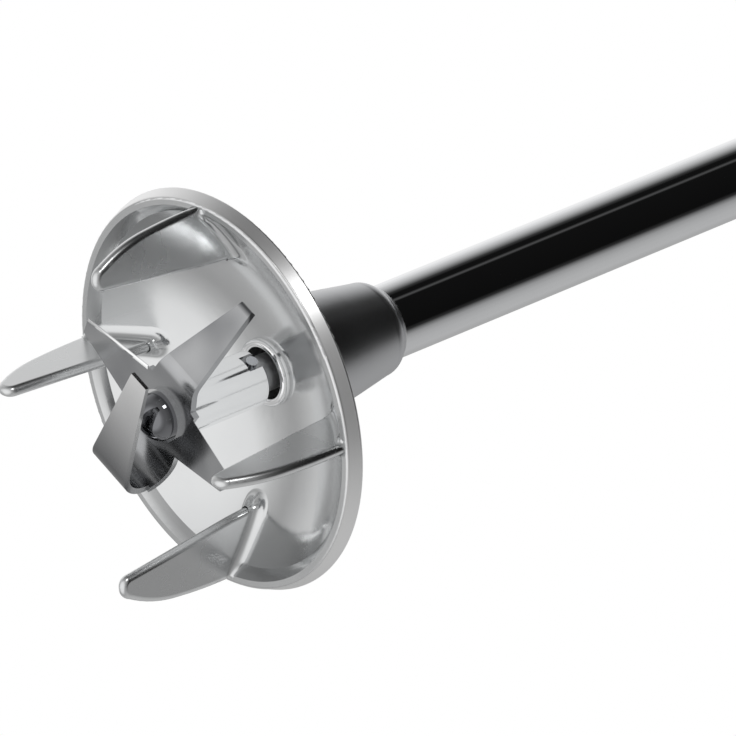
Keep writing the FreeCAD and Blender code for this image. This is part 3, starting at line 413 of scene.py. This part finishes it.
lamination = striped("silicon_steel_stacked", "3d4045", "6b6f75", 0.5, 0.06, "Z", 1.0, (0.35, 0.5))
copper_wire = striped("enamelled_copper_wire_wound", "7a3418", "c8703c", 0.6, 0.2, "Z", 1.0, (0.22, 0.34))
board_laminate = striped("glass_epoxy_board_green", "0d3a22", "16573a", 1.3, 0.01, "X", 0.0, (0.3, 0.4))
print("finishes made:", len(bpy.data.materials))

# %% [markdown]
# ### Handing out the finishes
# The record says which slot of material each node of the frame takes, so one table from slot to finish dresses
# the whole frame, and the pieces made later in this lesson take theirs from the same table.

# %% Dress the frame
FINISH = {
    "polished_steel": mirror_steel, "cast_steel": foot_steel, "blade_steel": ground_steel,
    "shaft_steel": plain_steel, "bearing_steel": race_steel, "bronze": bronze, "black_rubber": black_rubber,
    "nose_alloy": nose_alloy, "bracket_alloy": bracket_alloy, "ring_plastic": ring_plastic,
    "drum_plastic": drum_plastic, "grip_plastic": grip_plastic, "trigger_plastic": trigger_plastic,
    "button_plastic": button_plastic, "wheel_plastic": wheel_plastic, "lamination": lamination,
    "copper": copper_wire, "carbon": carbon, "brass": brass, "spring_steel": spring_wire,
    "fan_plastic": fan_plastic, "board_laminate": board_laminate, "component_body": component_body}


def dress(piece, slot):
    piece.data.materials.clear()
    piece.data.materials.append(FINISH[slot])


for part in frame["record"]["subparts"]:
    dress(nodes[part["node"]], part["material_slot"])
own_finish = {"blade_sleeve": sleeve_steel, "blade_washer": sleeve_steel, "seal_ring": sleeve_steel,
              "cap_nut": nut_steel_painted_dark, "neck": satin_painted_shade, "drive_shaft": shaft_steel}
for name, finish in own_finish.items():
    nodes[name].data.materials[0] = finish

# %% [markdown]
# ## Pieces shaped in Blender
# Some things on the real blender are softer, thinner or finer than an engineering model needs: the flowing roots of
# the fins, a honed edge, a bead of braze, rubber pads, dust screens, marks on the bayonet. Each is built below as
# its own object, laid against the frame by dropping a ray on it, so it follows the frame wherever that goes.

# %% Helpers for pieces
RAY_START = 0.2  # metres from the axis, well outside the blender
MERGE_DISTANCE = 0.01 * MM
SMOOTH_ANGLE = radians(40)


def surface_radius(node, angle, z):
    """Distance from the shaft axis to a node's outside, seen along a level ray at this angle and height."""
    out = Vector((cos(angle), sin(angle), 0))
    hit, place, *_ = nodes[node].ray_cast(out * RAY_START + Vector((0, 0, z)), -out)
    return hypot(place.x, place.y) if hit else 0.0


def finish_piece(piece, name, slot, body, paint=None):
    """Name a shaped piece, give it its finish and tie it to the body it moves with."""
    clear_selection()
    piece.name = name
    piece.select_set(True)
    bpy.context.view_layer.objects.active = piece
    bpy.ops.object.transform_apply(location=True, rotation=True, scale=True)
    bpy.ops.object.mode_set(mode="EDIT")
    bpy.ops.mesh.select_all(action="SELECT")
    bpy.ops.mesh.remove_doubles(threshold=MERGE_DISTANCE)
    bpy.ops.mesh.normals_make_consistent(inside=False)
    bpy.ops.object.mode_set(mode="OBJECT")
    bpy.ops.object.shade_smooth_by_angle(angle=SMOOTH_ANGLE)
    piece.data.materials.clear()
    piece.data.materials.append(paint or FINISH[slot])
    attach(piece, body)
    size = [round(v / MM, 1) for v in piece.dimensions]
    print(name, "-", len(piece.data.polygons), "faces,", size, "mm")
    return piece


def copy_turned(piece, name, angle, slot, body):
    """A copy with its own mesh, turned about the shaft axis."""
    twin = piece.copy()
    twin.data = piece.data.copy()
    bpy.context.scene.collection.objects.link(twin)
    twin.parent = None
    twin.data.transform(Matrix.Rotation(angle, 4, "Z"))
    return finish_piece(twin, name, slot, body, piece.data.materials[0])


def close_ends():
    """Fill every open edge loop of the object in edit mode."""
    bpy.ops.mesh.select_all(action="DESELECT")
    bpy.ops.mesh.select_mode(type="EDGE")
    bpy.ops.mesh.select_non_manifold()
    bpy.ops.mesh.fill()


# %% [markdown]
# ### Fin roots
# The foot is one casting, and metal can't be cast into a sharp inside corner: the fins grow out of the dish in wide
# hollow curves that catch a broad highlight. A fillet tool fails where the corner runs over the rolled rim, so the
# root is a strip of its own: a flat grid whose length follows the foot of the fin, round its inner edge, and whose
# width is bent into a quarter of a circle. Every point is then hung on the dish at the depth measured there.

# %% Fin roots
FIN_ANGLE = radians(29.8)
FIN_HALF = 1.7 * MM  # half the fin's thickness
FIN_INNER, FIN_OUTER = 40.3 * MM, 57.9 * MM  # where the root's two straight runs start and end
DISH_EDGE = 58.5 * MM
ROOT_RADIUS = 4.2 * MM
ROOT_FADE, ROOT_LEAST = 5 * MM, 0.25  # near the rim the root shrinks to this share over this length
ROOT_OVERLAP, ROOT_BURIED = 0.05 * MM, 0.8 * MM  # depth in the metal of the strip's edges and of its back
RUN, BEND = 96, 10  # faces along the strip and across its bend


def dish_height(radius):
    """Depth of the dish at a radius, measured half-way between two fins."""
    angle = FIN_ANGLE + pi / 4
    start = Vector((radius * cos(angle), radius * sin(angle), 0.0))
    hit, place, *_ = nodes["guard"].ray_cast(start, Vector((0, 0, 1)))
    return place.z if hit else RIM_Z


def along_foot(share):
    """Point and outward direction on the fin's foot: out on one side, round the inner edge, back on the other."""
    straight = FIN_OUTER - FIN_INNER
    turn = pi * FIN_HALF
    s = share * (2 * straight + turn)
    if s < straight:
        return Vector((FIN_OUTER - s, FIN_HALF)), Vector((0, 1))
    if s > straight + turn:
        return Vector((FIN_INNER + s - straight - turn, -FIN_HALF)), Vector((0, -1))
    bend = pi / 2 + (s - straight) / FIN_HALF
    way = Vector((cos(bend), sin(bend)))
    return Vector((FIN_INNER, 0)) + way * FIN_HALF, way


def root_point(share, step):
    """Point of the strip: step 0 lies on the fin, step BEND on the dish, the last one hidden in the metal."""
    foot, way = along_foot(share)
    radius = ROOT_RADIUS * min(1.0, ROOT_LEAST + (FIN_OUTER - foot.x) / ROOT_FADE)
    if step > BEND:
        spot, rise = foot - way * ROOT_BURIED, -ROOT_BURIED
    else:
        bend = step / BEND * pi / 2
        spot = foot + way * (radius * (1 - cos(bend)) - ROOT_OVERLAP)
        rise = radius * (1 - sin(bend)) - ROOT_OVERLAP
    return Vector((spot.x, spot.y, dish_height(min(spot.length, DISH_EDGE)) - rise))


clear_selection()
bpy.ops.mesh.primitive_grid_add(x_subdivisions=RUN, y_subdivisions=BEND + 2, size=2)
root = bpy.context.object
for vertex in root.data.vertices:
    share = (vertex.co.x + 1) / 2
    step = round((vertex.co.y + 1) / 2 * (BEND + 2)) % (BEND + 2)
    vertex.co = root_point(share, step)
bpy.ops.object.mode_set(mode="EDIT")
bpy.ops.mesh.select_all(action="SELECT")
bpy.ops.mesh.remove_doubles(threshold=MERGE_DISTANCE)
close_ends()
bpy.ops.object.mode_set(mode="OBJECT")
root.data.transform(Matrix.Rotation(FIN_ANGLE, 4, "Z"))
finish_piece(root, "fin_root_1", "cast_steel", "housing")
for number in (1, 2, 3):
    copy_turned(root, f"fin_root_{number + 1}", number * pi / 2, "cast_steel", "housing")

# %% [markdown]
# ### Honed edge of the long wing
# The long flat wing is sharpened along one side, and the last stroke of the stone leaves a narrow facet that flashes
# white. It is a slim bar laid along the edge, tilted and bevelled, so thin that it only shows as a line.

# %% Honed edge
WING_ANGLE = radians(-31.6)
EDGE_Z = 21.1 * MM  # just proud of the blade's lower face
HONE_WIDTH, HONE_HEIGHT, HONE_BEVEL = 0.75 * MM, 0.5 * MM, 0.12 * MM
HONE_TILT = radians(18)
# Ends of the edge, with the wing pointing along X.
edge_root, edge_tip = Vector((11.0, 9.0, 0)) * MM, Vector((37.3, 2.75, 0)) * MM
run = edge_tip - edge_root
clear_selection()
bpy.ops.mesh.primitive_cube_add(size=1)
hone = bpy.context.object
hone.scale = (run.length, HONE_WIDTH, HONE_HEIGHT)
hone.rotation_euler = (HONE_TILT, 0, atan2(run.y, run.x))
hone.location = (edge_root + edge_tip) / 2
bpy.ops.object.transform_apply(location=True, rotation=True, scale=True)
bpy.ops.object.mode_set(mode="EDIT")
bpy.ops.mesh.select_all(action="SELECT")
bpy.ops.mesh.bevel(offset=HONE_BEVEL, segments=2, affect="EDGES")
bpy.ops.object.mode_set(mode="OBJECT")
hone.data.transform(Matrix.Translation((0, 0, EDGE_Z)) @ Matrix.Rotation(WING_ANGLE, 4, "Z"))
finish_piece(hone, "wing_honed_edge", "blade_steel", "drive", sleeve_steel)

# %% [markdown]
# ### Bead of braze
# Where the collar meets the tube a thin bead of braze runs round the shaft and shows as a bright line. It is a slim
# torus whose ring swells and thins a little, as hand-fed filler does.

# %% Bead of braze
BEAD_RADIUS, BEAD_STANDOFF = 0.28 * MM, 0.15 * MM
neck_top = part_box("neck")[1][2]
tube_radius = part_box("shaft_tube")[1][0]
clear_selection()
bpy.ops.mesh.primitive_torus_add(major_radius=tube_radius + BEAD_STANDOFF, minor_radius=BEAD_RADIUS,
                                 major_segments=160, minor_segments=12, location=(0, 0, neck_top))
bead = bpy.context.object
for vertex in bead.data.vertices:
    around = atan2(vertex.co.y, vertex.co.x)
    # Two ripples of different pitch look less regular than one.
    vertex.co.z *= 1 + 0.12 * sin(11 * around) + 0.08 * sin(27 * around)
finish_piece(bead, "neck_braze_bead", "cast_steel", "housing")

# %% [markdown]
# ### Bands, beads and dust screens of the motor drum
# A steel trim band covers the joint between drum and handle, two raised beads stiffen the drum and frame its rows of
# slots, and behind the slots a screen keeps flour out of the motor. Each starts as a short tube section: a circle,
# extruded upwards in four steps, drawn outwards where it should stand proud, then thickened.

# %% Bands and beads
CROWN = (0.0, 0.75, 1.0, 0.75, 0.0)  # share of its crown that a band stands proud by, from low to high


def band(name, z, height, radius, slot, crown, wall=1.2 * MM):
    """Ring with a crowned outside, its middle at height z."""
    clear_selection()
    bpy.ops.mesh.primitive_circle_add(vertices=128, radius=radius, location=(0, 0, z - height / 2))
    bpy.ops.object.transform_apply(location=True)
    ring = bpy.context.object
    bpy.ops.object.mode_set(mode="EDIT")
    bpy.ops.mesh.select_all(action="SELECT")
    for share, next_share in zip(CROWN, CROWN[1:]):
        swell = (radius + crown * next_share) / (radius + crown * share)
        bpy.ops.mesh.extrude_region_move(TRANSFORM_OT_translate={"value": (0, 0, height / (len(CROWN) - 1))})
        bpy.ops.transform.resize(value=(swell, swell, 1.0))
    bpy.ops.object.mode_set(mode="OBJECT")
    shell = ring.modifiers.new("wall", "SOLIDIFY")
    shell.thickness = wall
    shell.offset = 0.0
    bpy.ops.object.modifier_apply(modifier="wall")
    return finish_piece(ring, name, slot, "housing")


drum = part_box("motor_housing")
drum_low, drum_high, drum_radius = drum[0][2], drum[1][2], drum[1][0]
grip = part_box("handle_left")
grip_low, grip_high = grip[0][2], grip[1][2]
band("drum_trim_band", grip_low, height=5 * MM, slot="polished_steel", crown=0.5 * MM,
     radius=surface_radius("motor_housing", pi / 2, grip_low - 1 * MM))
for name, z in (("drum_bead_low", drum_low + 50 * MM), ("drum_bead_high", drum_high - 34 * MM)):
    band(name, z, height=3 * MM, radius=drum_radius - 0.3 * MM, slot="drum_plastic", crown=0.9 * MM)

# %% Dust screens
for name, low, high in (("dust_screen_low", drum_low + 24 * MM, drum_low + 46 * MM),
                        ("dust_screen_high", drum_high - 32 * MM, drum_high - 12 * MM)):
    band(name, (low + high) / 2, height=high - low, radius=drum_radius - 4.2 * MM, slot="carbon", crown=0.0,
         wall=0.5 * MM)

# %% [markdown]
# ### Rubber pads on the grip
# The grip has a soft rubber pad on each side, ribbed so that a wet hand holds it. A pad is a grid wrapped round the
# grip: its columns go round, its rows go up, and each point stands on the grip at the radius measured there. The
# ribs come from a wave in the height above the surface, which dies away towards the pad's edge. The same way, with
# no wave, gives the raised lip where the two shells of the grip meet, and later the plate on the drum.

# %% Grip pads
CORNER_FROM, CORNER_CUT = 0.86, 0.35  # rounded corners: where they start along the height, and how much they take
SIDE_SLOPE, END_SLOPE = 9, 1.5  # steepness of the pad's edges
PAD_SUNK, PAD_WALL = 0.15 * MM, 0.8 * MM


def wrap_pad(name, node, middle, half_turn, low, high, rise, rib, ribs, slot, paint=None):
    """Pad wrapped on a node round an angle, from height low to high, with level ribs."""
    clear_selection()
    bpy.ops.mesh.primitive_grid_add(x_subdivisions=28, y_subdivisions=ribs * 8, size=2)
    pad = bpy.context.object
    for vertex in pad.data.vertices:
        u, v = vertex.co.x, vertex.co.y
        corner = max(0.0, abs(v) - CORNER_FROM) / (1 - CORNER_FROM)
        angle = middle + half_turn * u * (1 - CORNER_CUT * corner ** 2)
        z = (low + high) / 2 + v * (high - low) / 2
        slope = min(1.0, (1 - abs(u)) * SIDE_SLOPE, (1 - abs(v)) * ribs * END_SLOPE)
        edge = slope ** 0.5 if max(abs(u), abs(v)) < 1 else 0.0
        wave = 0.5 + 0.5 * cos(v * ribs * pi)
        radius = surface_radius(node, angle, z) + edge * (rise + rib * wave) - PAD_SUNK
        vertex.co = (radius * cos(angle), radius * sin(angle), z)
    back = pad.modifiers.new("back", "SOLIDIFY")
    back.thickness = PAD_WALL
    back.offset = 1.0
    bpy.ops.object.modifier_apply(modifier="back")
    return finish_piece(pad, name, slot, "housing", paint)


for name, node, middle in (("grip_pad_left", "handle_left", pi), ("grip_pad_right", "handle_right", 0.0)):
    wrap_pad(name, node, middle, half_turn=radians(21), low=grip_low + 46 * MM, high=grip_high - 20 * MM,
             rise=0.6 * MM, rib=0.9 * MM, ribs=13, slot="black_rubber", paint=pad_rubber)

# %% Raised lip of the shells
# It stops short of the trigger, the button and the wheel: side of the grip, then heights above its foot in mm.
FRONT, BACK = -pi / 2, pi / 2
LIP_RUNS = ((FRONT, 4, 37), (FRONT, 86, 112), (BACK, 4, 52), (BACK, 72, 86))
LIP_HALF = radians(1.3)
for number, (middle, low, high) in enumerate(LIP_RUNS):
    wrap_pad(f"shell_lip_{number + 1}", "handle_left", middle + copysign(LIP_HALF, middle), half_turn=LIP_HALF,
             low=grip_low + low * MM, high=grip_low + high * MM, rise=0.5 * MM, rib=0.0, ribs=3, slot="grip_plastic")

# %% [markdown]
# ### Blank plate, lock marks and small fittings
# A blank satin plate sits on the front of the drum on two rivets. The bayonet ring carries a red bar that lines up
# with a large pip on the nose when the foot is locked, and with a small one when the ring is turned to free it.
# Five pips beside the speed wheel grow with the speed, and the cable inlet has three bending ribs.

# %% Plate, marks and ribs
plate_z = (drum_low + drum_high) / 2
wrap_pad("rating_plate", "motor_housing", FRONT, half_turn=radians(22), low=plate_z - 13 * MM, high=plate_z + 13 * MM,
         rise=0.5 * MM, rib=0.0, ribs=3, slot="nose_alloy")


def stud(name, angle, radius, z, size, height, slot, body, corners=20, stretch=1.0):
    """Small raised mark on an upright wall: a short post, narrowed and rounded at its outer end."""
    clear_selection()
    bpy.ops.mesh.primitive_cylinder_add(vertices=corners, radius=size, depth=height)
    bpy.ops.object.mode_set(mode="EDIT")
    bpy.ops.mesh.select_all(action="SELECT")
    bpy.ops.mesh.bevel(offset=height * 0.3, segments=3, affect="EDGES", clamp_overlap=True)
    bpy.ops.object.mode_set(mode="OBJECT")
    mark = bpy.context.object
    upright = Matrix.Rotation(angle, 4, "Z") @ Matrix.Rotation(pi / 2, 4, "Y") @ Matrix.Diagonal((stretch, 1, 1, 1))
    mark.matrix_world = Matrix.Translation((radius * cos(angle), radius * sin(angle), z)) @ upright
    return finish_piece(mark, name, slot, body)


RIVET_ANGLE = radians(19)
for number, side in enumerate((-1, 1)):
    stud(f"plate_rivet_{number + 1}", FRONT + side * RIVET_ANGLE, drum_radius + 0.5 * MM, plate_z,
         size=1.1 * MM, height=1.2 * MM, slot="shaft_steel", body="housing")

LOCKED, FREE = FRONT + radians(-22.5), FRONT + radians(17.5)  # the ring turns 40 degrees between them
ring_low, ring_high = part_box("lock_ring")
stud("lock_ring_bar", LOCKED, ring_high[0] - 0.4 * MM, (ring_low[2] + ring_high[2]) / 2,
     size=1.2 * MM, height=1.0 * MM, slot="button_plastic", body="lock_ring", stretch=4.5)
pip_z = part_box("nose_casting")[1][2] - 9 * MM
for number, (angle, size) in enumerate(((LOCKED, 2.0 * MM), (FREE, 1.3 * MM))):
    stud(f"nose_pip_{number + 1}", angle, surface_radius("nose_casting", angle, pip_z), pip_z,
         size=size, height=1.6 * MM, slot="button_plastic", body="housing", corners=24)

SPEEDS = 5
SCALE_ANGLE = BACK - radians(16)
wheel_low, wheel_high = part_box("speed_wheel")
for number in range(SPEEDS):
    pip_z = (wheel_low[2] + wheel_high[2]) / 2 + (number - SPEEDS // 2) * 4.5 * MM
    stud(f"speed_pip_{number + 1}", SCALE_ANGLE, surface_radius("handle_right", SCALE_ANGLE, pip_z), pip_z,
         size=(0.6 + 0.12 * number) * MM, height=0.8 * MM, slot="drum_plastic", body="housing", corners=16)

gland_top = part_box("cable_gland")[1][2]
for number in range(3):
    rib_z = gland_top - (1.2 + 2.1 * number) * MM
    band(f"gland_rib_{number + 1}", rib_z, height=1.1 * MM, slot="black_rubber", crown=0.5 * MM, wall=0.6 * MM,
         radius=surface_radius("cable_gland", 0, rib_z) - 0.1 * MM)

# %% [markdown]
# ### Spring of the palm button
# A coil spring gives way as the button is pushed, which a stiff piece can't show. The visible spring is a copy of
# the engineering one with a mesh of its own, and the engineering one is hidden.

# %% Button spring
clear_selection()
coil = nodes["lock_spring"].copy()
coil.data = nodes["lock_spring"].data.copy()
bpy.context.scene.collection.objects.link(coil)
coil.parent = None
coil.matrix_world = nodes["lock_spring"].matrix_world.copy()
finish_piece(coil, "button_spring_coil", "spring_steel", "housing")
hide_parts("lock_spring")
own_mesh(coil)

# %% [markdown]
# ## Lamps
# Three very wide, soft suns light the plastics and the rubber: two from above, on opposite sides, and a weak one
# from below. They don't show in the steel, whose reflections belong to the cloths of the sky, and because a sun has
# no edge the floor stays even.

# %% Lamps
SUN_SPREAD = radians(70)


def soft_sun(name, towards, strength):
    """Sun lamp with a wide disc; towards is the direction its light travels in."""
    lamp = bpy.data.lights.new(name, "SUN")
    lamp.energy = strength
    lamp.angle = SUN_SPREAD
    sun = bpy.data.objects.new(name, lamp)
    bpy.context.scene.collection.objects.link(sun)
    sun.rotation_euler = Vector(towards).to_track_quat("-Z", "Y").to_euler()
    sun.visible_glossy = False


soft_sun("key_sun", (-0.5, -0.6, -0.8), 1.6)
soft_sun("fill_sun", (0.6, 0.5, -0.4), 0.8)
soft_sun("low_sun", (-0.2, -0.7, 0.5), 0.5)
print("suns:", len(bpy.data.lights))

# %% [markdown]
# One small square lamp is the exception: it does show in the steel, as the white spark that a real softbox leaves
# on the dome of the nut and on the rounded tips of the fins.

# %% Spark
spark = bpy.data.lights.new("spark_softbox", "AREA")
spark.size = 0.34  # metres
spark.energy = 3.0  # watts
spark_box = bpy.data.objects.new("spark_softbox", spark)
bpy.context.scene.collection.objects.link(spark_box)
spark_box.location = (0.68, 1.32, -0.21)
spark_box.rotation_euler = (-spark_box.location).to_track_quat("-Z", "Y").to_euler()
